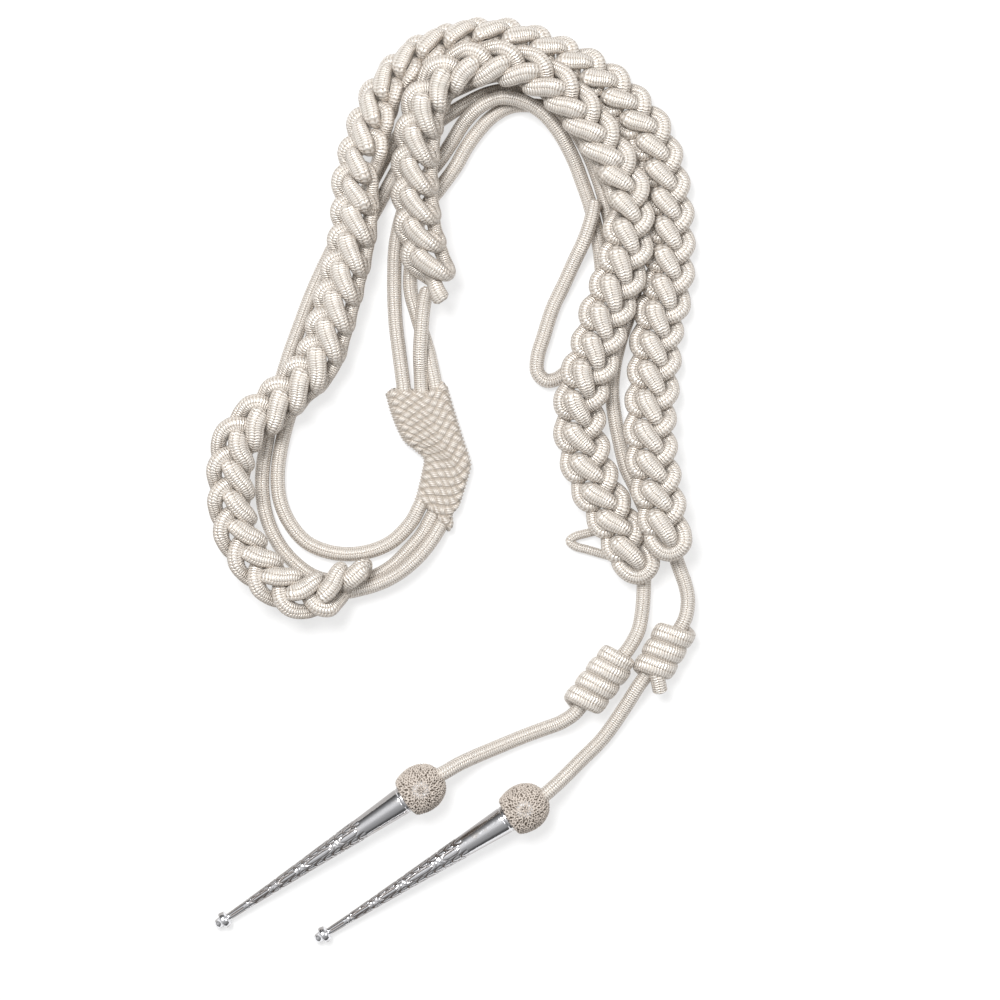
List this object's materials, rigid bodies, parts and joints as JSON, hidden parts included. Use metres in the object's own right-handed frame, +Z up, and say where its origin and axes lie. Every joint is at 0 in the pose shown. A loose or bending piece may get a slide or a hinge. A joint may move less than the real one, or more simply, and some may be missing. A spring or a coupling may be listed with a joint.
{
  "type": "aiguillette",
  "caption": "Dress aiguillette of plaited and plain metallic cord with a woven shoulder tab, button loops, barrel knots, crocheted caps and chased metal points, lying flat.",
  "frame": {"origin": "on the surface that it lies on, under the middle of its outline", "axes": "+Y towards the top of the plaits, +X towards the tails' side, +Z up from the surface"},
  "size_m": [0.2086, 0.395, 0.0296],
  "materials": {
    "silver_cord": "satin",
    "woven_silver": "satin",
    "crocheted_cord": "matte",
    "chased_metal": "polished"
  },
  "bodies": {
    "root": {"plait_outer": "silver_cord", "plait_inner": "silver_cord", "loop_cord_inner": "silver_cord", "loop_cord_outer": "silver_cord", "top_cord_outer": "silver_cord", "top_cord_inner": "silver_cord", "plait_inner_lead": "silver_cord", "plait_outer_lead": "silver_cord", "side_button_loop": "silver_cord", "small_button_loop": "silver_cord", "tail_outer": "silver_cord", "tail_inner": "silver_cord", "shoulder_tab": "woven_silver", "knot_outer": "silver_cord", "knot_inner": "silver_cord", "point_outer": "chased_metal", "cap_outer": "crocheted_cord", "point_inner": "chased_metal", "cap_inner": "crocheted_cord"}
  },
  "joints": []
}
